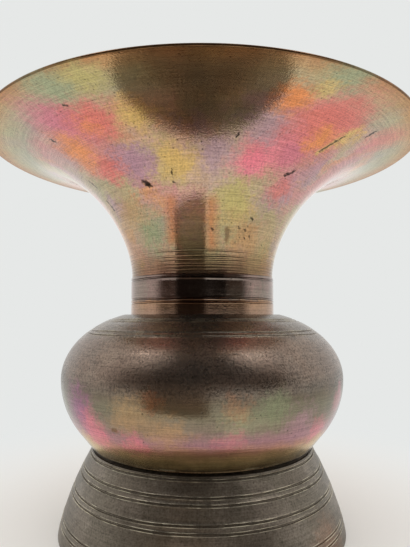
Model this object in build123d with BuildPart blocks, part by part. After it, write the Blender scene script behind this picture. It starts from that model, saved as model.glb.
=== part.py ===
from build123d import *
import os
from math import asin, cos, degrees, radians, sin, sqrt

# Bronze flower vessel with a trumpet mouth: turned castings joined on spigots.
# Millimetres, +Z up, origin on the turning axis at the standing plane.

# Foot
foot_height = 40.7
foot_r = 74.2
foot_top_r = 58.2
foot_band = 3.0
foot_draft = 0.4
foot_bulge = 1.5
foot_wall = 3.4
foot_lip = 2.1
foot_line_shares = (0.17, 0.24, 0.525, 0.59, 0.755, 0.82, 0.967)
standing_width = 4.2
flange_thick = 2.6
flange_width = 4.0

# Belly
seam_gap = 2.0
belly_drop = 34.3
belly_rise = 32.4
belly_overhang = 0.5
belly_core_r = 26.0
hem_overhang = 0.7
belly_wall = 2.6
shoulder_line_shares = (0.71, 0.756, 0.901, 0.929)
bowl_ratio = 1.283
bowl_sweep = 38.0
ledge_width = 3.1
foot_tenon_depth = 8.0
foot_tenon_wall = 2.1

# Floor disc
floor_thick = 2.2
floor_lap = 2.1

# Neck collar
collar_r = 39.3
collar_height = 19.8
collar_wall = 3.3
collar_tenon_wall = 1.8
collar_tenon_below = 2.2
collar_line_shares = (0.305, 0.395, 0.909)

# Mouth
mouth_height = 70.8
rim_r = 115.0
neck_inset = 0.4
lip_thick = 1.2
lip_round = 0.45
lip_slope = radians(4.0)
flare_rise = 22.0
flare_reach = 53.0
spigot_wall = 1.9
spigot_depth = 16.0

# Fits and small details
joint_gap = 0.1
slip_gap = 0.3
solder_leg = 0.9
groove_r = 0.4

# Heights and radii that follow from the sizes above
hem_z = foot_height + seam_gap
belly_z = hem_z + belly_drop
shoulder_z = belly_z + belly_rise
seat_z = shoulder_z + collar_height
rim_z = seat_z + mouth_height
belly_r = foot_r + belly_overhang
belly_hem_r = foot_top_r + hem_overhang
foot_tenon_r = foot_top_r - foot_lip - joint_gap
tenon_z = foot_height - foot_tenon_depth
rebate_r = foot_tenon_r - foot_tenon_wall
floor_top_z = tenon_z + solder_leg + floor_thick
well_r = rebate_r - floor_lap
flange_r = foot_tenon_r + joint_gap - flange_width
socket_r = collar_r - collar_wall
collar_tenon_r = socket_r + collar_tenon_wall
collar_tenon_z = shoulder_z - belly_wall - collar_tenon_below
opening_r = collar_tenon_r + joint_gap
ledge_r = collar_r + ledge_width
spigot_r = socket_r - slip_gap
throat_r = spigot_r - spigot_wall

# Half axes of the belly curve above and below its widest line
belly_a = belly_r - belly_core_r
inner_a = belly_a - belly_wall
shoulder_b = belly_rise / sqrt(1 - ((ledge_r - belly_core_r) / belly_a) ** 2)
bowl_b = belly_drop * bowl_ratio
shoulder_sweep = degrees(asin(belly_rise / shoulder_b))
vault_sweep = degrees(asin((belly_rise - belly_wall) / (shoulder_b - belly_wall)))


def cut_grooves(points):
    """Turn a round-bottomed line into the wall at each profile point."""
    with BuildSketch(Plane.XZ) as lines:
        with Locations(*points):
            Circle(groove_r)
    revolve(lines.sketch, axis=Axis.Z, mode=Mode.SUBTRACT)


def solder_ring(corner, leg_r, leg_z):
    """Lay a three-sided fillet round the axis with its square corner at a profile point."""
    r, z = corner
    with BuildSketch(Plane.XZ) as section:
        with BuildLine():
            Polyline((r, z), (r + leg_r, z), (r, z + leg_z), close=True)
        make_face()
    revolve(section.sketch, axis=Axis.Z)


# Flared foot, open below, with an inner flange that carries the belly tenon
with BuildPart() as foot:
    with BuildSketch(Plane.XZ):
        with BuildLine():
            Line((foot_r, 0), (foot_r - foot_draft, foot_band))
            foot_side = SagittaArc((foot_r - foot_draft, foot_band), (foot_top_r, foot_height), -foot_bulge)
            flange_z = tenon_z - flange_thick
            side_x = foot_side.arc_center.X
            side_y = foot_side.arc_center.Y
            side_r = foot_side.radius
            skirt_r = side_x + sqrt(side_r**2 - (flange_z - side_y) ** 2) - foot_wall
            Polyline(
                foot_side @ 1,
                (foot_tenon_r + joint_gap, foot_height),
                (foot_tenon_r + joint_gap, tenon_z),
                (flange_r, tenon_z),
                (flange_r, flange_z),
                (skirt_r, flange_z),
            )
            SagittaArc((skirt_r, flange_z), (foot_r - standing_width, 0), foot_bulge)
            Line((foot_r - standing_width, 0), (foot_r, 0))
        make_face()
    revolve(axis=Axis.Z)
    foot_lines = [foot_height * share for share in foot_line_shares]
    cut_grooves([(side_x + sqrt(side_r**2 - (z - side_y) ** 2), z) for z in foot_lines])
foot.part.label = "foot"

# Belly shell, open at the shoulder, with a tenon and rebate below
with BuildPart() as belly:
    with BuildSketch(Plane.XZ):
        with BuildLine():
            core = (belly_core_r, belly_z)
            shoulder = EllipticalCenterArc(core, belly_a, shoulder_b, 0, arc_size=shoulder_sweep)
            vault = EllipticalCenterArc(core, inner_a, shoulder_b - belly_wall, 0, arc_size=vault_sweep)
            bowl = EllipticalCenterArc(core, belly_a, bowl_b, -bowl_sweep, arc_size=bowl_sweep)
            basin = EllipticalCenterArc(core, inner_a, bowl_b - belly_wall, -bowl_sweep, arc_size=bowl_sweep)
            Polyline(
                shoulder @ 1,
                (opening_r, shoulder_z),
                (opening_r, shoulder_z - belly_wall),
                vault @ 1,
            )
            Polyline(
                basin @ 0,
                (well_r, foot_height),
                (well_r, floor_top_z),
                (rebate_r, floor_top_z),
                (rebate_r, tenon_z),
                (foot_tenon_r, tenon_z),
                (foot_tenon_r, hem_z),
                (belly_hem_r, hem_z),
                bowl @ 0,
            )
        make_face()
    revolve(axis=Axis.Z)
    cut_grooves(
        [
            (belly_core_r + belly_a * sqrt(1 - (rise / shoulder_b) ** 2), belly_z + rise)
            for rise in (belly_rise * share for share in shoulder_line_shares)
        ]
    )
belly.part.label = "belly"

# Flat disc let into the belly from below
with BuildPart() as belly_floor:
    with Locations((0, 0, floor_top_z)):
        Cylinder(rebate_r - joint_gap, floor_thick, align=(Align.CENTER, Align.CENTER, Align.MAX))
belly_floor.part.label = "belly_floor"

# Straight collar standing on the shoulder ledge
with BuildPart() as neck_collar:
    with BuildSketch(Plane.XZ):
        with BuildLine():
            Polyline(
                (collar_r, shoulder_z),
                (collar_r, seat_z),
                (socket_r, seat_z),
                (socket_r, collar_tenon_z),
                (collar_tenon_r, collar_tenon_z),
                (collar_tenon_r, shoulder_z),
                close=True,
            )
        make_face()
    revolve(axis=Axis.Z)
    cut_grooves([(collar_r, shoulder_z + collar_height * share) for share in collar_line_shares])
neck_collar.part.label = "neck_collar"

# Thin-lipped trumpet with a spigot that drops into the collar
with BuildPart() as mouth_trumpet:
    with BuildSketch(Plane.XZ):
        with BuildLine():
            neck_r = collar_r - neck_inset
            lip_z = rim_z - lip_thick
            reach_r = rim_r - flare_reach * cos(lip_slope)
            reach_drop = flare_reach * sin(lip_slope)
            under = Bezier(
                (neck_r, seat_z),
                (neck_r, seat_z + flare_rise),
                (reach_r, lip_z - reach_drop),
                (rim_r, lip_z),
            )
            upper = Bezier(
                (rim_r, rim_z),
                (reach_r, rim_z - reach_drop),
                (throat_r, seat_z + flare_rise),
                (throat_r, seat_z),
            )
            Line(under @ 1, upper @ 0)
            Polyline(
                upper @ 1,
                (throat_r, seat_z - spigot_depth),
                (spigot_r, seat_z - spigot_depth),
                (spigot_r, seat_z),
                under @ 0,
            )
        make_face()
    revolve(axis=Axis.Z)
    fillet(mouth_trumpet.edges().filter_by(GeomType.CIRCLE).group_by(SortBy.RADIUS)[-1], lip_round)
mouth_trumpet.part.label = "mouth_trumpet"

# Solder that seals and holds each fixed joint
with BuildPart() as foot_solder:
    solder_ring((foot_tenon_r, foot_height), solder_leg, solder_leg)
foot_solder.part.label = "foot_solder"

with BuildPart() as floor_solder:
    solder_ring((rebate_r, floor_top_z - floor_thick), -solder_leg, -solder_leg)
floor_solder.part.label = "floor_solder"

with BuildPart() as collar_solder:
    solder_ring((collar_tenon_r, shoulder_z - belly_wall), solder_leg, -solder_leg)
collar_solder.part.label = "collar_solder"

os.makedirs("parts", exist_ok=True)
export_step(foot.part, "parts/foot.step")
export_step(belly.part, "parts/belly.step")
export_step(belly_floor.part, "parts/belly_floor.step")
export_step(neck_collar.part, "parts/neck_collar.step")
export_step(mouth_trumpet.part, "parts/mouth_trumpet.step")
export_step(foot_solder.part, "parts/foot_solder.step")
export_step(floor_solder.part, "parts/floor_solder.step")
export_step(collar_solder.part, "parts/collar_solder.step")
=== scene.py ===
"""Dress the turned bronze flower vessel and set it on a plain studio floor."""
import logging
import math
from collections.abc import Callable
from dataclasses import dataclass, field, replace
from enum import Enum
from typing import Any, NamedTuple

import bmesh
import bpy
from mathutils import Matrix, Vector


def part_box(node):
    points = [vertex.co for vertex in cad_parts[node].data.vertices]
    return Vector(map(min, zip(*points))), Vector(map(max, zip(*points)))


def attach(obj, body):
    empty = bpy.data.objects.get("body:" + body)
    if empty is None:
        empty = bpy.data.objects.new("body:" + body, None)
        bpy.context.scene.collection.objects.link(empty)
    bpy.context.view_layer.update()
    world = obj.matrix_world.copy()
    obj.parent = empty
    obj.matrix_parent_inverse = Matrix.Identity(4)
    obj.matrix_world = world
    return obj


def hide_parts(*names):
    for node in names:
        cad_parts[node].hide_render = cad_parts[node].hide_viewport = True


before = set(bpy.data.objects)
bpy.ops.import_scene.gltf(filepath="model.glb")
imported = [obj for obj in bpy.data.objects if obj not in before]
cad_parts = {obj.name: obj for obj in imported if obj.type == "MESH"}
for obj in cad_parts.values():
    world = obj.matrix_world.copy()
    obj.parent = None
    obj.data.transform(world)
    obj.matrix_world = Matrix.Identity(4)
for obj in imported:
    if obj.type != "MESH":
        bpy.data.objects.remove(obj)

Tree = bpy.types.NodeTree
Socket = bpy.types.NodeSocket

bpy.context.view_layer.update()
MM = 0.001
SPIN_STEPS = 240
SHARP_ANGLE = math.radians(38)
TURNED = "turned"
EDGE_WEAR_AND_LIGHT = "edge_wear_and_light"
# Lengths along the outline jump by this much where it passes over the edge to the inside.
INSIDE = 1000.0
# Casting sand is finer than this; it is drawn coarser so that it still shows at the size of the picture.
GRAIN_SIZE = 0.85
# Sizes of the other patterns in the skin, in millimetres.
CLOUD_SIZE = 8.0
FINE_SIZE = 1.8
RAGGED = 3.0
STREAK_RUN = 18.0
HATCH_WIDTH = 0.7
HATCH_RUN = 9.0
PIT_SPACING = 2.0
# Lengths along the wall over which matt turns to satin, and by which bands stray, in millimetres.
MATT_FADE = 6.0
BAND_STRAY = 7.0
# Depths of grain and pits against those of the rings.
GRAIN_RELIEF = 3.0
PIT_RELIEF = -2.0
# Most of a noise texture's values lie between these.
NOISE_LOW = 0.3
NOISE_HIGH = 0.7

log = logging.getLogger("vessel")


class Spot(NamedTuple):
    """A point of an outline: radius and height in millimetres, and how much edge tint it takes from 0 to 1:
    a painted highlight on rubbed metal where the tint is pale, a darker edge where it is dark.
    """

    r: float
    z: float
    edge_wear_and_light: float = 0.0


def linear(colour: str) -> tuple[float, float, float, float]:
    """Turn an sRGB hex colour into linear light.

    Args:
        colour: six hex digits after a hash sign.

    Returns:
        Linear red, green, blue and an alpha of one.
    """
    parts = [int(colour[i:i + 2], 16) / 255 for i in (1, 3, 5)]
    light = [c / 12.92 if c <= 0.04045 else ((c + 0.055) / 1.055) ** 2.4 for c in parts]
    return (light[0], light[1], light[2], 1.0)


def add_node(tree: Tree, kind: str, inputs: dict | None = None, **settings: Any) -> bpy.types.Node:
    """Add one node, set it up and link it.

    Args:
        tree: the node tree that takes the node.
        kind: the node's type name after its common start.
        inputs: socket name or index to a value, or to an output socket to link from.
        settings: the node's own properties.

    Returns:
        The new node.
    """
    node = tree.nodes.new("ShaderNode" + kind)
    for name, value in settings.items():
        setattr(node, name, value)
    for key, value in (inputs or {}).items():
        if isinstance(value, Socket):
            tree.links.new(value, node.inputs[key])
        else:
            node.inputs[key].default_value = value
    return node


def bezier(a: Spot, b: Spot, c: Spot, d: Spot, count: int) -> list[Spot]:
    """Sample a cubic curve.

    Args:
        a: first end.
        b: handle of the first end.
        c: handle of the last end.
        d: last end.
        count: number of points.

    Returns:
        Points from a to d.
    """
    points = []
    for i in range(count):
        t = i / (count - 1)
        s = 1 - t
        weights = (s**3, 3 * s * s * t, 3 * s * t * t, t**3)
        points.append(Spot(*(sum(w * p[k] for w, p in zip(weights, (a, b, c, d))) for k in (0, 1))))
    return points


def oval(centre: Spot, half_r: float, half_z: float, start: float, end: float, count: int,
         edge_wear_and_light: float = 0.0) -> list[Spot]:
    """Sample part of an upright oval.

    Args:
        centre: its middle.
        half_r: half its width.
        half_z: half its height.
        start: first angle in degrees, from the outward direction.
        end: last angle in degrees.
        count: number of points.
        edge_wear_and_light: how much edge tint lies along it.

    Returns:
        Points from start to end.
    """
    angles = [math.radians(start + (end - start) * i / (count - 1)) for i in range(count)]
    return [Spot(centre.r + half_r * math.cos(a), centre.z + half_z * math.sin(a), edge_wear_and_light) for a in angles]


def bowed(start: Spot, end: Spot, bulge: float, count: int) -> list[Spot]:
    """Sample a shallow bow between two points.

    Args:
        start: first point.
        end: last point.
        bulge: how far the middle stands to the right of the straight line.
        count: number of points.

    Returns:
        Points from start to end.
    """
    run = math.dist(start[:2], end[:2])
    out = ((end.z - start.z) / run, (start.r - end.r) / run)
    points = []
    for i in range(count):
        t = i / (count - 1)
        lift = 4 * bulge * t * (1 - t)
        points.append(Spot(*(start[k] + (end[k] - start[k]) * t + out[k] * lift for k in (0, 1))))
    return points


@dataclass(frozen=True)
class Groove:
    """A hand-cut line round a turned wall, with a thin burr on each side."""

    height: float
    wander: float = 0.1
    depth: float = 0.5
    half_width: float = 0.55
    burr: float = 0.1

    def section(self) -> list[tuple[float, float, float]]:
        """Shape the line's section.

        Returns:
            Offsets along the wall and out of it, with the wear at each.
        """
        w, d = self.half_width, self.depth
        half = [(0.3 * w, -d, 0.0), (0.7 * w, -0.3 * d, 0.0), (1.05 * w, self.burr, 1.0),
                (1.6 * w, 0.0, 0.0)]
        return [(-along, out, edge_wear_and_light) for along, out, edge_wear_and_light in reversed(half)] + half

    def drift(self, angle: float) -> float:
        """Give how far the line strays in height at an angle, in millimetres."""
        swing = math.sin(3 * angle + self.height) + 0.6 * math.sin(7 * angle + 2.1 * self.height)
        return self.wander * (swing + 0.5 * math.sin(16 * angle + 0.7 * self.height))


def cut_lines(wall: list[Spot], grooves: list[Groove], step: float) -> list[Spot]:
    """Resample a wall's outline and turn its grooves into it.

    Args:
        wall: the smooth outline, from low to high, with the outside on its right.
        grooves: the lines to cut.
        step: spacing of the points between lines.

    Returns:
        The outline with the lines in it.
    """
    lengths = [0.0]
    for a, b in zip(wall, wall[1:]):
        lengths.append(lengths[-1] + math.dist(a[:2], b[:2]))

    def at(length: float) -> tuple[Vector, Vector]:
        """Find a place on the wall.

        Args:
            length: how far along the wall it lies.

        Returns:
            The point, and the way out of the wall there.
        """
        index = max(i for i, value in enumerate(lengths[:-1]) if value <= max(length, 0.0))
        a, b = Vector(wall[index][:2]), Vector(wall[index + 1][:2])
        way = (b - a).normalized()
        return a + way * (length - lengths[index]), Vector((way.y, -way.x))

    count = round(lengths[-1] / step)
    stops = [(lengths[-1] * i / count, 0.0, 0.0) for i in range(count + 1)]
    for groove in grooves:
        index = next(i for i, p in enumerate(wall) if p.z >= groove.height)
        a, b = wall[index - 1], wall[index]
        share = (groove.height - a.z) / (b.z - a.z)
        centre = lengths[index - 1] + share * (lengths[index] - lengths[index - 1])
        stops = [s for s in stops if s[2] or abs(s[0] - centre) > 1.8 * groove.half_width]
        stops += [(centre + along, out, edge_wear_and_light) for along, out, edge_wear_and_light in groove.section()]
    outline = []
    for length, out, edge_wear_and_light in sorted(stops):
        place, normal = at(length)
        outline.append(Spot(*(place + normal * out), edge_wear_and_light))
    return outline


def turn(name: str, outline: list[Spot], outer: int, grooves: list[Groove]) -> bpy.types.Object:
    """Spin a closed outline into a turned casting.

    Args:
        name: the piece's name.
        outline: the section, closed from the last point to the first.
        outer: how many of its points, from the first, are on the outside.
        grooves: lines on the outside whose height strays a little round the wall.

    Returns:
        The new object at the origin; its length along the outline and how much edge tint it takes are kept
        as attributes.
    """
    mesh = bpy.data.meshes.new(name)
    bm = bmesh.new()
    turned = bm.verts.layers.float.new(TURNED)
    edge_wear_and_light = bm.verts.layers.float.new(EDGE_WEAR_AND_LIGHT)
    length = 0.0
    ring = []
    for i, spot in enumerate(outline):
        vert = bm.verts.new((spot.r * MM, 0.0, spot.z * MM))
        length += math.dist(outline[i - 1][:2], spot[:2]) if i else 0.0
        vert[turned] = length + (INSIDE if i >= outer else 0.0)
        vert[edge_wear_and_light] = spot.edge_wear_and_light
        ring.append(vert)
    edges = [bm.edges.new((ring[i - 1], ring[i])) for i in range(len(ring))]
    bmesh.ops.spin(bm, geom=ring + edges, cent=(0, 0, 0), axis=(0, 0, 1), angle=math.tau,
                   steps=SPIN_STEPS, use_merge=True)
    bmesh.ops.remove_doubles(bm, verts=bm.verts, dist=1e-7)
    bmesh.ops.recalc_face_normals(bm, faces=bm.faces)
    for groove in grooves:
        reach = 2.4 * groove.half_width * MM
        for vert in bm.verts:
            off = abs(vert.co.z - groove.height * MM)
            if off < reach:
                fade = 1 - (off / reach) ** 2
                vert.co.z += groove.drift(math.atan2(vert.co.y, vert.co.x)) * fade * MM
    for face in bm.faces:
        face.smooth = True
    for edge in bm.edges:
        if edge.is_manifold and edge.calc_face_angle() > SHARP_ANGLE:
            edge.smooth = False
    bm.to_mesh(mesh)
    bm.free()
    piece = bpy.data.objects.new(name, mesh)
    bpy.context.scene.collection.objects.link(piece)
    log.info("%s: %d faces", name, len(mesh.polygons))
    return piece


class Tint(Enum):
    """Colours of the bronze's skin, by name."""

    TAN = "#c39a6c"
    STRAW = "#e0bc74"
    ORANGE = "#f29a5e"
    ROSE = "#da828e"
    HOT = "#f28696"
    CORAL = "#e67f74"
    LILAC = "#ba9ca2"
    MAUVE = "#b88e9a"
    MOSS = "#a8ae88"
    OLIVE = "#c4b676"
    LEAF = "#98a57c"
    RUST = "#c77f52"
    PLUM = "#a5688c"
    PALE = "#cbb0a2"
    BROWN = "#7a5c40"
    SOOT = "#1d1610"


@dataclass(frozen=True)
class Patch:
    """A stain: its place in degrees from the front and millimetres, how wide it is and how strong."""

    tint: Tint
    angle: float
    height: float
    spread: float
    strength: float = 0.92
    core: float = 0.12


@dataclass(frozen=True)
class Mark:
    """A scratch or pit, from one place on the wall to another."""

    start: tuple[float, float]
    end: tuple[float, float]
    width: float
    tint: Tint = Tint.SOOT
    strength: float = 0.9
    core: float = 0.4


@dataclass(frozen=True)
class Wash:
    """A cloudy colour that covers part of the wall."""

    tint: str
    size: float
    cover: float
    offset: float
    strength: float = 0.8


@dataclass(frozen=True)
class Band:
    """A colour at a length along the wall, from its lower edge in millimetres."""

    length: float
    tint: str
    strength: float


@dataclass(frozen=True)
class TurnedBronze:
    """Cast bronze skimmed on a lathe and left to colour: satin, with fine rings that break up the light."""

    name: str
    ground: str
    roughness: float
    washes: tuple[Wash, ...] = ()
    bands: tuple[Band, ...] = ()
    patches: tuple[Patch, ...] = ()
    marks: tuple[Mark, ...] = ()
    # Pale by default: bare metal with a painted highlight along rubbed edges and the lips of lines.
    edge_wear_and_light_tint: str = "#cfc6ac"
    edge_wear_and_light_strength: float = 0.8
    ring_pitch: float = 0.55
    ring_depth: float = 0.02
    ring_tone: float = 0.2
    edge_wear_and_light_gaps: float = 0.9
    grain: float = 0.15
    matt: float = 0.0
    matt_from: float = 0.0
    specks: float = 0.5
    metallic: float = 1.0
    drag: float = 18.0
    mottle: float = 12.0
    inside: str = "#786146"

    def build(self, radius_at: Callable[[float], float] | None = None) -> bpy.types.Material:
        """Make the material.

        Args:
            radius_at: gives the outside radius at a height, for placing patches and marks.

        Returns:
            The new material.
        """
        material = bpy.data.materials.new(self.name)
        material.use_nodes = True
        tree = material.node_tree
        tree.nodes.clear()
        place = add_node(tree, "TexCoord").outputs["Object"]
        along = add_node(tree, "Attribute", attribute_name=TURNED).outputs["Fac"]
        rings = self.rings(tree, place, along)
        cloud = add_node(tree, "TexNoise", {"Vector": place, "Scale": 1 / (CLOUD_SIZE * MM), "Detail": 6.0,
                                            "Roughness": 0.65})
        push = add_node(tree, "VectorMath", {0: cloud.outputs["Color"], 1: (0.5, 0.5, 0.5)},
                        operation="SUBTRACT")
        fine = add_node(tree, "TexNoise", {"Vector": place, "Scale": 1 / (FINE_SIZE * MM), "Detail": 3.0})
        shake = add_node(tree, "VectorMath", {0: fine.outputs["Color"], 1: (0.5, 0.5, 0.5)},
                         operation="SUBTRACT")
        ragged = add_node(tree, "VectorMath", {0: shake.outputs[0], 1: (RAGGED * MM,) * 3, 2: place},
                          operation="MULTIPLY_ADD").outputs[0]
        mottled = add_node(tree, "VectorMath", {0: shake.outputs[0], 1: (self.mottle * MM,) * 3, 2: place},
                           operation="MULTIPLY_ADD").outputs[0]
        pushed = add_node(tree, "VectorMath", {0: push.outputs[0], 1: (self.drag * MM,) * 3, 2: mottled},
                          operation="MULTIPLY_ADD").outputs[0]
        dull = add_node(tree, "MapRange", {"Value": along, "From Min": self.matt_from - MATT_FADE,
                                           "From Max": self.matt_from}).outputs[0]
        colour: Any = linear(self.ground)
        for wash in self.washes:
            colour = self.wash(tree, colour, pushed, wash)
        if self.bands:
            colour = self.band(tree, colour, along, cloud.outputs["Fac"])
        for patch in self.patches:
            colour = self.stain(tree, colour, pushed, patch, radius_at)
        for mark in self.marks:
            colour = self.scratch(tree, colour, ragged, mark, radius_at)
        colour = self.line(tree, colour, along, cloud.outputs["Fac"])
        colour, grain = self.shade(tree, colour, rings, place, dull)
        colour, pit = self.pits(tree, colour, place, cloud.outputs["Fac"])
        colour = self.paint_edge_wear_and_light(tree, colour, cloud.outputs["Fac"])
        patchy = add_node(tree, "MapRange", {"Value": cloud.outputs["Fac"], "From Min": NOISE_LOW,
                                             "From Max": NOISE_HIGH, "To Min": self.roughness - 0.03,
                                             "To Max": self.roughness + 0.06})
        rough = add_node(tree, "Math", {0: dull, 1: self.matt, 2: patchy.outputs[0]},
                         operation="MULTIPLY_ADD")
        skin = add_node(tree, "Math", {0: grain, 1: GRAIN_RELIEF, 2: rings}, operation="MULTIPLY_ADD")
        relief = add_node(tree, "Math", {0: pit, 1: PIT_RELIEF, 2: skin.outputs[0]},
                          operation="MULTIPLY_ADD")
        bump = add_node(tree, "Bump", {"Height": relief.outputs[0], "Strength": 1.0,
                                       "Distance": self.ring_depth * MM})
        shader = add_node(tree, "BsdfPrincipled",
                          {"Base Color": colour, "Metallic": self.metallic, "Roughness": rough.outputs[0],
                           "Normal": bump.outputs[0]})
        add_node(tree, "OutputMaterial", {"Surface": shader.outputs[0]})
        return material

    def rings(self, tree: Tree, place: Socket, along: Socket) -> Socket:
        """Add the lathe's fine rings: streaks that run round the wall and break up after a while.

        Args:
            tree: the material's nodes.
            place: the surface point.
            along: the length along the wall.

        Returns:
            The streaks' height, from 0 to 1.
        """
        per_run = 1 / (STREAK_RUN * MM)
        flat = add_node(tree, "VectorMath", {0: place, 1: (per_run, per_run, 0)}, operation="MULTIPLY")
        step = add_node(tree, "Math", {0: along, 1: 1 / self.ring_pitch}, operation="MULTIPLY")
        lift = add_node(tree, "CombineXYZ", {"Z": step.outputs[0]})
        spread = add_node(tree, "VectorMath", {0: flat.outputs[0], 1: lift.outputs[0]}, operation="ADD")
        noise = add_node(tree, "TexNoise", {"Vector": spread.outputs[0], "Scale": 1.0, "Detail": 3.0,
                                            "Roughness": 0.6})
        return noise.outputs["Fac"]

    def shade(self, tree: Tree, under: Socket, rings: Socket, place: Socket,
              dull: Socket) -> tuple[Socket, Socket]:
        """Shade the colour along the rings, along old polishing scratches and over the sand grain.

        Args:
            tree: the material's nodes.
            under: the colour so far.
            rings: the lathe's rings.
            place: the surface point.
            dull: where the wall is matt and shows its grain, from 0 to 1.

        Returns:
            The shaded colour, and the grain's height.
        """
        noise = add_node(tree, "TexNoise", {"Vector": place, "Scale": 1 / (GRAIN_SIZE * MM),
                                            "Detail": 2.0, "Roughness": 0.6})
        rough = add_node(tree, "MapRange", {"Value": noise.outputs["Fac"], "From Min": 0.58,
                                            "From Max": 0.32, "To Min": -0.25, "To Max": 1.0})
        much = add_node(tree, "MapRange", {"Value": dull, "To Min": 0.3 * self.grain,
                                           "To Max": self.grain})
        grain = add_node(tree, "Math", {0: rough.outputs[0], 1: much.outputs[0]}, operation="MULTIPLY")
        per_width, per_run = 1 / (HATCH_WIDTH * MM), 1 / (HATCH_RUN * MM)
        slant = add_node(tree, "Mapping", {"Vector": place, "Rotation": (0.5, 0.9, 0.6),
                                           "Scale": (per_width, per_run, per_run)})
        hatch = add_node(tree, "TexNoise", {"Vector": slant.outputs[0], "Scale": 1.0, "Detail": 2.0})
        lines = add_node(tree, "MapRange", {"Value": hatch.outputs["Fac"], "From Min": NOISE_LOW,
                                            "From Max": NOISE_HIGH, "To Min": 0.94, "To Max": 1.06})
        tone = add_node(tree, "MapRange", {"Value": rings, "From Min": NOISE_LOW, "From Max": NOISE_HIGH,
                                           "To Min": 1 - self.ring_tone, "To Max": 1 + self.ring_tone})
        both = add_node(tree, "Math", {0: lines.outputs[0], 1: tone.outputs[0]}, operation="MULTIPLY")
        left = add_node(tree, "Math", {0: both.outputs[0], 1: grain.outputs[0]}, operation="SUBTRACT")
        toned = add_node(tree, "VectorMath", {0: under, "Scale": left.outputs[0]}, operation="SCALE")
        height = add_node(tree, "Math", {0: grain.outputs[0], 1: -1.0}, operation="MULTIPLY")
        return toned.outputs[0], height.outputs[0]

    def wash(self, tree: Tree, under: Socket, place: Socket, wash: Wash) -> Socket:
        """Lay one cloudy colour over what is there.

        Args:
            tree: the material's nodes.
            under: the colour so far.
            place: the surface point, pushed about.
            wash: the colour to lay.

        Returns:
            The colour with the wash in it.
        """
        shift = add_node(tree, "VectorMath", {0: place, 1: (wash.offset,) * 3}, operation="ADD")
        noise = add_node(tree, "TexNoise", {"Vector": shift.outputs[0], "Scale": 1 / (wash.size * MM),
                                            "Detail": 2.0, "Roughness": 0.5})
        edge = 0.72 - 0.44 * wash.cover
        soft = 0.09
        mask = add_node(tree, "MapRange", {"Value": noise.outputs["Fac"], "From Min": edge - soft,
                                           "From Max": edge + soft, "To Max": wash.strength},
                        interpolation_type="SMOOTHSTEP")
        return add_node(tree, "Mix", {0: mask.outputs[0], 6: under, 7: linear(wash.tint)},
                        data_type="RGBA").outputs[2]

    def band(self, tree: Tree, under: Socket, along: Socket, cloud: Socket) -> Socket:
        """Lay the colours that run round the wall.

        Args:
            tree: the material's nodes.
            under: the colour so far.
            along: the length along the wall.
            cloud: noise that makes the bands stray.

        Returns:
            The colour with the bands in it.
        """
        total = self.bands[-1].length
        wander = add_node(tree, "Math", {0: cloud, 1: BAND_STRAY, 2: along}, operation="MULTIPLY_ADD")
        share = add_node(tree, "MapRange", {"Value": wander.outputs[0], "From Min": BAND_STRAY / 2,
                                            "From Max": total + BAND_STRAY / 2})
        ramp = add_node(tree, "ValToRGB", {"Fac": share.outputs[0]})
        stops = ramp.color_ramp.elements
        while len(stops) < len(self.bands):
            stops.new(0.5)
        for stop, band in zip(stops, self.bands):
            stop.position = band.length / total
            stop.color = linear(band.tint)[:3] + (band.strength,)
        return add_node(tree, "Mix", {0: ramp.outputs["Alpha"], 6: under, 7: ramp.outputs["Color"]},
                        data_type="RGBA").outputs[2]

    def line(self, tree: Tree, under: Socket, along: Socket, cloud: Socket) -> Socket:
        """Leave the inside a dull, cloudy brown.

        Args:
            tree: the material's nodes.
            under: the colour so far.
            along: the length along the outline, which passes the edge to the inside.
            cloud: noise for the brown.

        Returns:
            The colour with the inside in it.
        """
        within = add_node(tree, "MapRange", {"Value": along, "From Min": INSIDE - 100,
                                             "From Max": INSIDE})
        tone = add_node(tree, "MapRange", {"Value": cloud, "From Min": NOISE_LOW, "From Max": NOISE_HIGH,
                                           "To Min": 0.75, "To Max": 1.25})
        brown = add_node(tree, "VectorMath", {0: linear(self.inside)[:3], "Scale": tone.outputs[0]},
                         operation="SCALE")
        return add_node(tree, "Mix", {0: within.outputs[0], 6: under, 7: brown.outputs[0]},
                        data_type="RGBA").outputs[2]

    @staticmethod
    def on_wall(angle: float, height: float, radius: float) -> Vector:
        """Give the point of the wall at an angle from the front."""
        turn_by = math.radians(angle)
        return Vector((radius * math.sin(turn_by), -radius * math.cos(turn_by), height)) * MM

    def stain(self, tree: Tree, under: Socket, place: Socket, patch: Patch,
              radius_at: Callable[[float], float]) -> Socket:
        """Lay one patch over the colour so far.

        Args:
            tree: the material's nodes.
            under: the colour so far.
            place: the surface point, pushed about so that edges are ragged.
            patch: the patch to lay.
            radius_at: gives the wall's radius at a height.

        Returns:
            The colour with the patch in it.
        """
        centre = self.on_wall(patch.angle, patch.height, radius_at(patch.height))
        gap = add_node(tree, "VectorMath", {0: place, 1: centre}, operation="DISTANCE")
        mask = add_node(tree, "MapRange", {"Value": gap.outputs["Value"],
                                           "From Min": patch.spread * MM,
                                           "From Max": patch.spread * patch.core * MM,
                                           "To Max": patch.strength}, interpolation_type="SMOOTHSTEP")
        return add_node(tree, "Mix", {0: mask.outputs[0], 6: under, 7: linear(patch.tint.value)},
                        data_type="RGBA").outputs[2]

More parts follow.
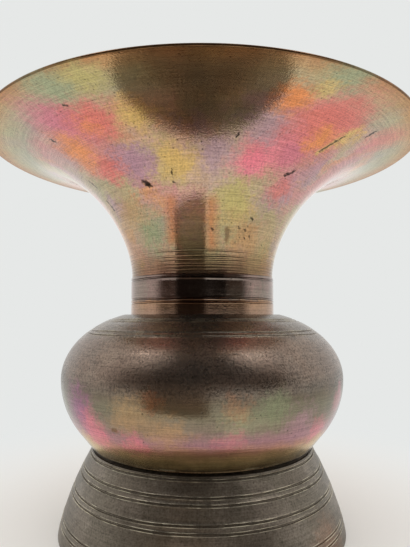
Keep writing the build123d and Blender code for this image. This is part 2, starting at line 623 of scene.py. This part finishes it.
    def scratch(self, tree: Tree, under: Socket, place: Socket, mark: Mark,
                radius_at: Callable[[float], float]) -> Socket:
        """Draw one scratch or pit over the colour so far.

        Args:
            tree: the material's nodes.
            under: the colour so far.
            place: the surface point.
            mark: the scratch.
            radius_at: gives the wall's radius at a height.

        Returns:
            The colour with the scratch in it.
        """
        start = self.on_wall(*mark.start, radius_at(mark.start[1]))
        run = self.on_wall(*mark.end, radius_at(mark.end[1])) - start
        rel = add_node(tree, "VectorMath", {0: place, 1: start}, operation="SUBTRACT")
        dot = add_node(tree, "VectorMath", {0: rel.outputs[0], 1: run / max(run.length_squared, 1e-12)},
                       operation="DOT_PRODUCT")
        share = add_node(tree, "Clamp", {"Value": dot.outputs["Value"]})
        foot = add_node(tree, "VectorMath", {0: run, "Scale": share.outputs[0]}, operation="SCALE")
        gap = add_node(tree, "VectorMath", {0: rel.outputs[0], 1: foot.outputs[0]}, operation="DISTANCE")
        mask = add_node(tree, "MapRange", {"Value": gap.outputs["Value"], "From Min": mark.width * MM,
                                           "From Max": mark.core * mark.width * MM,
                                           "To Max": mark.strength})
        return add_node(tree, "Mix", {0: mask.outputs[0], 6: under, 7: linear(mark.tint.value)},
                        data_type="RGBA").outputs[2]

    def pits(self, tree: Tree, under: Socket, place: Socket, cloud: Socket) -> tuple[Socket, Socket]:
        """Scatter small dark casting pits in loose groups.

        Args:
            tree: the material's nodes.
            under: the colour so far.
            place: the surface point.
            cloud: noise that groups them.

        Returns:
            The pitted colour, and the pits' depth from 0 to 1.
        """
        cells = add_node(tree, "TexVoronoi", {"Vector": place, "Scale": 1 / (PIT_SPACING * MM)})
        dot = add_node(tree, "MapRange", {"Value": cells.outputs["Distance"], "From Min": 0.25,
                                          "From Max": 0.06, "To Max": 0.75})
        pick = add_node(tree, "SeparateColor", {0: cells.outputs["Color"]})
        least = add_node(tree, "MapRange", {"Value": cloud, "From Min": 0.42, "From Max": 0.62,
                                            "To Min": 1.0, "To Max": 1 - 0.5 * self.specks})
        few = add_node(tree, "Math", {0: pick.outputs[0], 1: least.outputs[0]}, operation="GREATER_THAN")
        pit = add_node(tree, "Math", {0: dot.outputs[0], 1: few.outputs[0]}, operation="MULTIPLY")
        mix = add_node(tree, "Mix", {0: pit.outputs[0], 6: under, 7: linear(Tint.SOOT.value)},
                       data_type="RGBA")
        return mix.outputs[2], pit.outputs[0]

    def paint_edge_wear_and_light(self, tree: Tree, under: Socket, cloud: Socket) -> Socket:
        """Paint the edge tint in broken runs along rubbed edges and the lips of lines: a pale tint is bare
        metal with a painted highlight, a dark tint darkens them.

        Args:
            tree: the material's nodes.
            under: the colour so far.
            cloud: noise that breaks the runs.

        Returns:
            The colour with the edge tint in it.
        """
        edge_wear_and_light = add_node(tree, "Attribute", attribute_name=EDGE_WEAR_AND_LIGHT)
        broken = add_node(tree, "MapRange", {"Value": cloud, "From Min": 0.44, "From Max": 0.56,
                                             "To Min": (1 - self.edge_wear_and_light_gaps) * self.edge_wear_and_light_strength,
                                             "To Max": self.edge_wear_and_light_strength})
        mask = add_node(tree, "Math", {0: edge_wear_and_light.outputs["Fac"], 1: broken.outputs[0]}, operation="MULTIPLY")
        return add_node(tree, "Mix", {0: mask.outputs[0], 6: under, 7: linear(self.edge_wear_and_light_tint)},
                        data_type="RGBA").outputs[2]


def all_round(patches: tuple[Patch, ...], turned_by: float) -> tuple[Patch, ...]:
    """Add a paler copy of each patch on the far side of the wall.

    Args:
        patches: the patches at the front.
        turned_by: how far round the copies lie, in degrees.

    Returns:
        The patches of both sides.
    """
    paler = 0.8
    far = [replace(p, angle=p.angle + turned_by, strength=paler * p.strength) for p in patches]
    return patches + tuple(far)


def span(node: str) -> tuple[float, float, float]:
    """Give a node's radius, lowest and highest level in millimetres."""
    low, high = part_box(node)
    return min(high[0], high[1], -low[0], -low[1]) / MM, low[2] / MM, high[2] / MM


def settle(piece: bpy.types.Object, node: str, body: str) -> None:
    """Let a modelled piece stand for its node.

    Args:
        piece: the modelled piece.
        node: the node that it stands for.
        body: the body that it moves with.
    """
    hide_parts(node)
    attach(piece, body)


@dataclass
class Mouth:
    """The trumpet mouth, which lifts out of the collar."""

    neck_r: float = 38.9
    throat_r: float = 33.8
    spigot_r: float = 35.7
    spigot_depth: float = 16.0
    lip_thick: float = 1.2
    lip_slope: float = math.radians(4)
    flare_rise: float = 22.0
    flare_reach: float = 53.0
    lines: tuple[float, ...] = (1.7, 3.2, 4.6, 6.5, 8.2, 10.8)
    step: float = 1.1
    wall: list[Spot] = field(default_factory=list)

    def radius_at(self, height: float) -> float:
        """Give the outside radius at a height."""
        return next(spot.r for spot in self.wall if spot.z >= height)

    def build(self) -> None:
        """Model and dress the mouth."""
        rim_r, low, rim_z = span("mouth_trumpet")
        seat = low + self.spigot_depth
        rise = seat + self.flare_rise
        half = self.lip_thick / 2
        end_r = rim_r - half
        drop = self.flare_reach * math.sin(self.lip_slope)
        reach = end_r - self.flare_reach * math.cos(self.lip_slope)
        under = rim_z - self.lip_thick
        self.wall = bezier(Spot(self.neck_r, seat), Spot(self.neck_r, rise), Spot(reach, under - drop),
                           Spot(end_r, under), 400)
        lip = oval(Spot(end_r, rim_z - half), half, half, -75, 75, 7, edge_wear_and_light=1.0)
        inside = bezier(Spot(end_r, rim_z), Spot(reach, rim_z - drop), Spot(self.throat_r, rise),
                        Spot(self.throat_r, seat), 60)
        tail = [Spot(self.throat_r, low), Spot(self.spigot_r, low), Spot(self.spigot_r, seat)]
        grooves = [Groove(seat + line, depth=0.1, half_width=0.4, burr=0.04) for line in self.lines]
        outer = cut_lines(self.wall, grooves, self.step) + lip
        piece = turn("mouth_bell", outer + inside + tail, len(outer), grooves)
        piece.data.materials.append(MOUTH_BRONZE.build(self.radius_at))
        settle(piece, "mouth_trumpet", "mouth")


@dataclass
class Collar:
    """The straight collar between mouth and belly."""

    socket_r: float = 36.0
    tenon_r: float = 37.8
    tenon_depth: float = 4.8
    edge: float = 0.5
    lines: tuple[float, ...] = (6.0, 7.8, 18.0)
    step: float = 1.0

    def build(self) -> None:
        """Model and dress the collar."""
        radius, low, top = span("neck_collar")
        base = low + self.tenon_depth
        grooves = [Groove(base + line, wander=0.16, half_width=0.45) for line in self.lines]
        soft = oval(Spot(radius - self.edge, top - self.edge), self.edge, self.edge, 0, 90, 4, edge_wear_and_light=0.7)
        wall = cut_lines([Spot(radius, base), Spot(radius, top - self.edge)], grooves, self.step)
        outer = wall + soft[1:]
        inner = [Spot(self.socket_r, top), Spot(self.socket_r, low), Spot(self.tenon_r, low),
                 Spot(self.tenon_r, base)]
        piece = turn("collar_band", outer + inner, len(outer), grooves)
        piece.data.materials.append(COLLAR_BRONZE.build(lambda height: radius))
        settle(piece, "neck_collar", "vessel")


@dataclass
class Belly:
    """The squat bulb between collar and foot."""

    core_r: float = 26.0
    drop: float = 34.3
    seam: float = 10.0
    hem_r: float = 58.9
    hem_round: float = 0.5
    tenon_r: float = 56.0
    rebate_r: float = 53.9
    well_r: float = 51.8
    floor_rise: float = 3.1
    well_rise: float = 8.0
    thick: float = 2.6
    opening_r: float = 37.9
    ledge_r: float = 42.4
    bowl_ratio: float = 1.283
    bowl_sweep: float = 38.0
    lines: tuple[float, ...] = (2.3, 3.2, 7.9, 9.4)
    step: float = 1.2
    wall: list[Spot] = field(default_factory=list)

    def build(self) -> None:
        """Model and dress the belly."""
        radius, low, top = span("belly")
        hem = low + self.seam
        middle = hem + self.drop
        half_r = radius - self.core_r
        half_up = (top - middle) / math.sqrt(1 - ((self.ledge_r - self.core_r) / half_r) ** 2)
        half_down = self.drop * self.bowl_ratio
        sweep_up = math.degrees(math.asin((top - middle) / half_up))
        core = Spot(self.core_r, middle)
        bowl = oval(core, half_r, half_down, -self.bowl_sweep, 0, 60)
        shoulder = oval(core, half_r, half_up, 0, sweep_up, 80)
        edge = oval(Spot(self.hem_r - self.hem_round, hem + self.hem_round), self.hem_round, self.hem_round,
                    -90, -20, 4, edge_wear_and_light=1.0)
        self.wall = bowl + shoulder[1:]
        grooves = [Groove(top - line) for line in self.lines]
        outer = edge + cut_lines([edge[-1]] + self.wall, grooves, self.step)[1:]
        in_r, in_up, in_down = half_r - self.thick, half_up - self.thick, half_down - self.thick
        sweep_in = math.degrees(math.asin((top - self.thick - middle) / in_up))
        vault = oval(core, in_r, in_up, sweep_in, 0, 30)
        basin = oval(core, in_r, in_down, 0, -self.bowl_sweep, 24)
        rest = [Spot(self.well_r, low + self.well_rise), Spot(self.well_r, low + self.floor_rise),
                Spot(self.rebate_r, low + self.floor_rise), Spot(self.rebate_r, low),
                Spot(self.tenon_r, low), Spot(self.tenon_r, hem)]
        mouth = [Spot(self.opening_r, top), Spot(self.opening_r, top - self.thick)]
        piece = turn("belly_bulb", outer + mouth + vault + basin[1:] + rest, len(outer), grooves)
        piece.data.materials.append(BELLY_BRONZE.build(self.radius_at))
        settle(piece, "belly", "vessel")

    def radius_at(self, height: float) -> float:
        """Give the outside radius at a height."""
        return next(spot.r for spot in self.wall if spot.z >= height)


@dataclass
class Foot:
    """The flared, open foot."""

    top_r: float = 58.2
    band: float = 3.0
    draft: float = 0.4
    bulge: float = 1.5
    toe_round: float = 0.5
    socket_r: float = 56.1
    socket_depth: float = 8.0
    flange_r: float = 52.1
    flange_thick: float = 2.6
    skirt_r: float = 60.1
    standing: float = 4.2
    lines: tuple[float, ...] = (7.0, 9.7, 21.3, 24.0, 30.7, 33.4, 39.4)
    step: float = 1.2

    def build(self) -> None:
        """Model and dress the foot."""
        radius, low, top = span("foot")
        base = Spot(radius - self.draft, low + self.band)
        side = bowed(base, Spot(self.top_r, top), self.bulge, 60)
        toe = oval(Spot(radius - self.toe_round, low + self.toe_round), self.toe_round, self.toe_round,
                   -90, 0, 4)
        grooves = [Groove(low + line, wander=0.12, half_width=0.5) for line in self.lines]
        outer = toe[:-1] + cut_lines([toe[-1]] + side, grooves, self.step)
        ledge = top - self.socket_depth
        under = ledge - self.flange_thick
        inside = bowed(Spot(self.skirt_r, under), Spot(radius - self.standing, low), -self.bulge, 24)
        socket = [Spot(self.socket_r, top), Spot(self.socket_r, ledge), Spot(self.flange_r, ledge),
                  Spot(self.flange_r, under)]
        piece = turn("foot_flare", outer + socket + inside, len(outer), grooves)
        piece.data.materials.append(FOOT_BRONZE.build(lambda height: radius))
        settle(piece, "foot", "vessel")


@dataclass
class HiddenPieces:
    """The floor disc and the solder, which keep their own shapes."""

    nodes: tuple[str, ...] = ("belly_floor", "collar_solder", "floor_solder", "foot_solder")

    def build(self) -> None:
        """Dress the pieces inside the joints."""
        sheet = FLOOR_BRONZE.build()
        solder = SOLDER.build()
        for name in self.nodes:
            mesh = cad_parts[name].data
            mesh.materials.clear()
            mesh.materials.append(sheet if name == "belly_floor" else solder)
            log.info("%s: dressed", name)


@dataclass
class Studio:
    """Pale paper that fades into the backdrop, a bright room with a dark front, two lamps, a camera."""

    distance: float = 267.3
    eye: float = 109.1
    pitch: float = 4.97
    yaw: float = -0.32
    focal_px: float = 478.0
    frame_px: float = 547.0
    backdrop: str = "#e6e8e7"
    paper: str = "#f4f2ee"
    room: str = "#fbfaf8"
    dark: str = "#54483f"
    card: str = "#8a7868"
    card_top: str = "#241e1a"
    card_y: float = -0.165
    card_edge: tuple[tuple[float, float], ...] = (
        (-0.125, 0), (0.012, 0), (0.012, 0.113), (0.11, 0.113), (0.11, 0.5), (-0.125, 0.5))
    card_fade: tuple[float, float] = (0.05, 0.11)
    paper_half: float = 4.0
    paper_fade: tuple[float, float] = (0.07, 0.25)
    front: tuple[float, float] = (-0.1, -0.5)
    low: tuple[float, float] = (0.75, 0.45)
    lamps: tuple[tuple[float, float, float], ...] = ((-0.5, -0.32, 1.1), (0.42, -0.45, 1.1))
    lamp_size: tuple[float, float] = (0.6, 0.25)
    lamp_power: float = 1.2
    lamp_aim: tuple[float, float, float] = (0.0, 0.0, 0.1)

    def build(self) -> None:
        """Set up everything round the vessel."""
        bpy.context.scene.view_settings.view_transform = "Standard"
        self.camera()
        self.floor()
        self.flag()
        self.world()
        for name, place in zip(("left lamp", "right lamp"), self.lamps):
            self.lamp(name, place)

    def camera(self) -> None:
        """Stand the camera in front of the vessel."""
        data = bpy.data.cameras.new("camera")
        data.sensor_width = 36.0
        data.lens = self.focal_px / self.frame_px * data.sensor_width
        data.clip_start = 0.01
        camera = bpy.data.objects.new("camera", data)
        camera.location = (0.0, -self.distance * MM, self.eye * MM)
        camera.rotation_euler = (math.radians(90 + self.pitch), 0.0, math.radians(self.yaw))
        bpy.context.scene.collection.objects.link(camera)
        bpy.context.scene.camera = camera

    def sheet(self, name: str, corners: list[tuple[float, float, float]]) -> bpy.types.Object:
        """Lay one flat sheet of the studio.

        Args:
            name: the sheet's name.
            corners: its corners in metres.

        Returns:
            The new object.
        """
        mesh = bpy.data.meshes.new(name)
        bm = bmesh.new()
        bm.faces.new([bm.verts.new(corner) for corner in corners])
        bm.to_mesh(mesh)
        bm.free()
        sheet = bpy.data.objects.new(name, mesh)
        bpy.context.scene.collection.objects.link(sheet)
        material = bpy.data.materials.new(name)
        material.use_nodes = True
        material.node_tree.nodes.clear()
        mesh.materials.append(material)
        return sheet

    def floor(self) -> None:
        """Lay the paper, which takes the shadow near the vessel and fades into the backdrop further off."""
        half = self.paper_half
        corners = [(-half, -half, 0), (half, -half, 0), (half, half, 0), (-half, half, 0)]
        floor = self.sheet("pale paper", corners)
        tree = floor.data.materials[0].node_tree
        place = add_node(tree, "TexCoord").outputs["Object"]
        away = add_node(tree, "VectorMath", {0: place}, operation="LENGTH")
        far = add_node(tree, "MapRange", {"Value": away.outputs["Value"], "From Min": self.paper_fade[0],
                                          "From Max": self.paper_fade[1]}, interpolation_type="SMOOTHSTEP")
        path = add_node(tree, "LightPath")
        seen = add_node(tree, "Math", {0: path.outputs["Is Camera Ray"], 1: path.outputs["Is Glossy Ray"]},
                        operation="MAXIMUM")
        fade = add_node(tree, "Math", {0: far.outputs[0], 1: seen.outputs[0]}, operation="MULTIPLY")
        paper = add_node(tree, "BsdfDiffuse", {"Color": linear(self.paper)})
        glow = add_node(tree, "Emission", {"Color": linear(self.backdrop), "Strength": 1.0})
        both = add_node(tree, "MixShader", {0: fade.outputs[0], 1: paper.outputs[0], 2: glow.outputs[0]})
        add_node(tree, "OutputMaterial", {"Surface": both.outputs[0]})

    def flag(self) -> None:
        """Stand a dark card by the lens, which only the metal sees; it is browner near the floor."""
        card = self.sheet("dark card", [(x, self.card_y, z) for x, z in self.card_edge])
        tree = card.data.materials[0].node_tree
        place = add_node(tree, "TexCoord").outputs["Object"]
        level = add_node(tree, "SeparateXYZ", {0: place}).outputs["Z"]
        up = add_node(tree, "MapRange", {"Value": level, "From Min": self.card_fade[0],
                                         "From Max": self.card_fade[1]})
        tone = add_node(tree, "Mix", {0: up.outputs[0], 6: linear(self.card), 7: linear(self.card_top)},
                        data_type="RGBA")
        glow = add_node(tree, "Emission", {"Color": tone.outputs[2], "Strength": 1.0})
        add_node(tree, "OutputMaterial", {"Surface": glow.outputs[0]})
        card.visible_camera = False
        card.visible_diffuse = False
        card.visible_shadow = False

    def world(self) -> None:
        """Light the room evenly, and let the metal see a dark low front."""
        world = bpy.data.worlds.new("studio")
        bpy.context.scene.world = world
        world.use_nodes = True
        tree = world.node_tree
        tree.nodes.clear()
        way = add_node(tree, "TexCoord").outputs["Generated"]
        axes = add_node(tree, "SeparateXYZ", {0: way})
        front = add_node(tree, "MapRange", {"Value": axes.outputs["Y"], "From Min": self.front[0],
                                            "From Max": self.front[1]}, interpolation_type="SMOOTHSTEP")
        low = add_node(tree, "MapRange", {"Value": axes.outputs["Z"], "From Min": self.low[0],
                                          "From Max": self.low[1]}, interpolation_type="SMOOTHSTEP")
        path = add_node(tree, "LightPath")
        ahead = add_node(tree, "Math", {0: front.outputs[0], 1: low.outputs[0]}, operation="MULTIPLY")
        dark = add_node(tree, "Math", {0: ahead.outputs[0], 1: path.outputs["Is Glossy Ray"]},
                        operation="MULTIPLY")
        room = add_node(tree, "Mix", {0: dark.outputs[0], 6: linear(self.room),
                                      7: linear(self.dark)}, data_type="RGBA")
        shown = add_node(tree, "Mix", {0: path.outputs["Is Camera Ray"], 6: room.outputs[2],
                                       7: linear(self.backdrop)}, data_type="RGBA")
        light = add_node(tree, "Background", {"Color": shown.outputs[2], "Strength": 1.0})
        add_node(tree, "OutputWorld", {"Surface": light.outputs[0]})

    def lamp(self, name: str, place: tuple[float, float, float]) -> None:
        """Hang one soft lamp that points at the vessel.

        Args:
            name: the lamp's name.
            place: where it hangs, in metres.
        """
        data = bpy.data.lights.new(name, "AREA")
        data.energy = self.lamp_power
        data.shape = "RECTANGLE"
        data.size, data.size_y = self.lamp_size
        lamp = bpy.data.objects.new(name, data)
        lamp.location = place
        lamp.rotation_euler = (Vector(self.lamp_aim) - Vector(place)).to_track_quat("-Z", "Y").to_euler()
        bpy.context.scene.collection.objects.link(lamp)


# Thin oxide from heat on a turned wall: pink, orange, straw and green drift over a satin, ringed ground;
# the lip and the lips of its lines are tinted dark brown.
MOUTH_BRONZE = TurnedBronze(
    "turned bronze, heat-coloured", "#d0b3a7", 0.06, edge_wear_and_light_tint="#4a3522", edge_wear_and_light_strength=0.75, edge_wear_and_light_gaps=0.2,
    metallic=0.88, ring_depth=0.012, specks=1.0, grain=0.24,
    washes=(
        Wash("#cfa68a", 34, 0.5, 0.11), Wash("#d6908f", 40, 0.45, 0.37), Wash("#bfb284", 36, 0.38, 0.59),
        Wash("#e6a06c", 26, 0.22, 0.83), Wash("#afae8a", 30, 0.25, 0.21), Wash("#bb9aa4", 22, 0.3, 0.47)),
    bands=(
        Band(0, "#74583e", 0.85), Band(6, "#8f7048", 0.75), Band(12, "#a8925e", 0.5),
        Band(30, "#b8a878", 0.35), Band(50, "#bd9e94", 0.0), Band(86, "#b59a90", 0.0),
        Band(93, "#aeae92", 0.75), Band(102, "#bdb388", 0.75), Band(108, "#c9a06c", 0.85),
        Band(112.3, "#c08a55", 0.9)),
    patches=all_round((
        Patch(Tint.TAN, 0, 196, 42, 0.75), Patch(Tint.ROSE, -48, 189, 34, 0.5),
        Patch(Tint.CORAL, 38, 187, 38, 0.5), Patch(Tint.HOT, 30, 183, 18, 0.6),
        Patch(Tint.ROSE, -44, 193.5, 27), Patch(Tint.CORAL, -33, 191.5, 22),
        Patch(Tint.ORANGE, -37, 190.6, 9, 0.6), Patch(Tint.PALE, -68, 185, 22, 0.6),
        Patch(Tint.ORANGE, -52, 186.2, 19), Patch(Tint.CORAL, -42, 178.1, 13),
        Patch(Tint.LILAC, 5, 180, 15), Patch(Tint.LILAC, 20, 188.2, 17), Patch(Tint.MAUVE, -30, 178, 15),
        Patch(Tint.STRAW, -19, 190.6, 14), Patch(Tint.STRAW, -11, 177, 15),
        Patch(Tint.OLIVE, 17, 163.3, 19), Patch(Tint.CORAL, 40, 193, 32), Patch(Tint.HOT, 21, 177.9, 15),
        Patch(Tint.ROSE, 36, 182, 15), Patch(Tint.ORANGE, 23, 194.7, 14), Patch(Tint.ORANGE, 43, 188, 13),
        Patch(Tint.STRAW, 53, 191.9, 10), Patch(Tint.CORAL, 68, 195.6, 22, 0.7),
        Patch(Tint.MOSS, 30, 198.4, 19), Patch(Tint.STRAW, 29, 196.9, 9, 0.7),
        Patch(Tint.MOSS, -34, 197.9, 19), Patch(Tint.OLIVE, -25, 197.6, 15),
        Patch(Tint.CORAL, 42, 169, 12, 0.7), Patch(Tint.LEAF, -34, 150, 17, 0.7),
        Patch(Tint.TAN, 30, 146, 12), Patch(Tint.TAN, -48, 160, 14, 0.7)), 168),
    marks=(
        Mark((48, 184.9), (51.6, 191.8), 2.2, Tint.STRAW, 0.7), Mark((48.4, 185.6), (51.2, 191), 1.1),
        Mark((59.9, 193.8), (59.2, 195.4), 1.0), Mark((39.8, 174.9), (44, 177.2), 1.0),
        Mark((-57.2, 192), (-56.7, 191), 0.9), Mark((-66.7, 177.6), (-64.7, 174.8), 0.8),
        Mark((-65.9, 168.3), (-63.6, 163.2), 0.8), Mark((-36.8, 195.5), (-36, 195.1), 0.8),
        Mark((-13.4, 174.3), (-13.3, 172), 0.5), Mark((-13.3, 169.4), (-13.3, 169.3), 0.9),
        Mark((-28.8, 170.8), (-26.6, 169.4), 1.7), Mark((-27.2, 169.6), (-25.4, 168.5), 1.1),
        Mark((11.6, 184.5), (12.1, 185.4), 0.8), Mark((-17, 162), (-20, 146), 4.8, Tint.RUST, 0.85, 0.0),
        Mark((5, 161), (6, 143), 5.0, Tint.RUST, 0.8, 0.0),
        Mark((16, 150), (16, 145), 1.6, Tint.BROWN, 0.7), Mark((23.2, 150.9), (24.5, 150.6), 0.8),
        Mark((27.7, 150.5), (28.2, 149.6), 0.8), Mark((28.6, 146.4), (29, 146.2), 0.8),
        Mark((32.3, 147.3), (33, 146.4), 0.7), Mark((31, 155.5), (31.4, 155.2), 0.8),
        Mark((5.7, 150), (6.6, 149.4), 0.8)))
# Turned and rubbed bright by handling: the sharpest reflections, with painted shade in dark brown along its
# top edge and the lips of its lines.
COLLAR_BRONZE = TurnedBronze(
    "turned bronze, dark polished", "#8a7c72", 0.12, edge_wear_and_light_tint="#3a2e26", edge_wear_and_light_strength=0.8, edge_wear_and_light_gaps=0.5,
    washes=(Wash("#7d746a", 16, 0.4, 0.3), Wash("#8f7670", 20, 0.4, 0.7)),
    bands=(
        Band(0, "#a88468", 0.5), Band(7, "#b08a68", 0.75), Band(10, "#8f7a70", 0.1),
        Band(24, "#857a72", 0.3)))
# Dull, sandy brown above, where highlights break into grain; smooth and heat-coloured below; the hem and
# the lips of its lines take a pale painted highlight.
BELLY_BRONZE = TurnedBronze(
    "turned bronze, browned above and heat-coloured below", "#807369", 0.16, edge_wear_and_light_strength=0.7, grain=0.5,
    matt=0.1, matt_from=40, metallic=0.93,
    washes=(Wash("#8c8074", 18, 0.45, 0.2), Wash("#74706a", 24, 0.4, 0.6)),
    bands=(
        # The dark olive at the hem is a painted reflection of the dark foot below.
        Band(0, "#6e5a38", 0.8), Band(5, "#a8925c", 0.75), Band(9, "#d6b27c", 0.75),
        Band(13, "#d69a80", 0.75), Band(18, "#c08c98", 0.7), Band(24, "#948474", 0.75),
        Band(31, "#888068", 0.8), Band(36, "#7c6f5a", 0.75), Band(40, "#7c6b5a", 0.4),
        Band(46, "#8f7666", 0.4), Band(60, "#8f7666", 0.4), Band(68, "#7c7064", 0.5),
        Band(88, "#7c766c", 0.8)),
    patches=all_round((
        Patch(Tint.PLUM, -49, 67, 16, 0.8), Patch(Tint.HOT, -43, 57.5, 15, 0.65),
        Patch(Tint.STRAW, -52, 48.4, 11, 0.85), Patch(Tint.TAN, -24, 67, 15, 0.55),
        Patch(Tint.TAN, -11, 61, 13, 0.55), Patch(Tint.LEAF, 24, 70.5, 13, 0.4),
        Patch(Tint.MOSS, 12, 64, 12, 0.5), Patch(Tint.HOT, -24, 54.5, 9, 0.55),
        Patch(Tint.ROSE, 9, 57, 9, 0.5), Patch(Tint.MAUVE, 36, 62, 13, 0.6),
        Patch(Tint.HOT, 48, 58, 10, 0.5), Patch(Tint.RUST, -16, 74, 6, 0.35),
        Patch(Tint.RUST, 11, 71.5, 10, 0.3), Patch(Tint.ROSE, 62, 69, 12, 0.6),
        Patch(Tint.STRAW, 52, 48.4, 10, 0.6)), 160),
    marks=(Mark((-32, 60.4), (-30.5, 60.4), 1.5, Tint.BROWN, 0.8),))
# Oxidised and never polished: matt and grey, with bare metal and a pale painted highlight in broken runs
# along the lips of its lines.
FOOT_BRONZE = TurnedBronze(
    "turned bronze, matt grey-brown", "#756d61", 0.38, ring_depth=0.03, grain=0.3, edge_wear_and_light_tint="#e0d8c0",
    edge_wear_and_light_strength=0.9, metallic=0.92,
    patches=(Patch(Tint.RUST, 52, 6, 20, 0.18),),
    washes=(Wash("#8a8074", 16, 0.4, 0.4), Wash("#6c6358", 26, 0.4, 0.8)))
# Rolled sheet left dark inside the vessel.
FLOOR_BRONZE = TurnedBronze("dull bronze sheet", "#4f4236", 0.5, washes=(Wash("#5f4f3e", 14, 0.5, 0.3),))
# Soft solder gone grey-brown in the joints.
SOLDER = TurnedBronze("tarnished solder", "#3d362f", 0.55, washes=(Wash("#4f483f", 6, 0.5, 0.3),))


def main() -> None:
    """Build the vessel piece by piece, then the studio."""
    logging.basicConfig(level=logging.INFO, format="%(name)s %(message)s")
    for section in (Mouth(), Collar(), Belly(), Foot(), HiddenPieces(), Studio()):
        section.build()
        log.info("%s done", type(section).__name__)


if __name__ == "__main__":
    main()
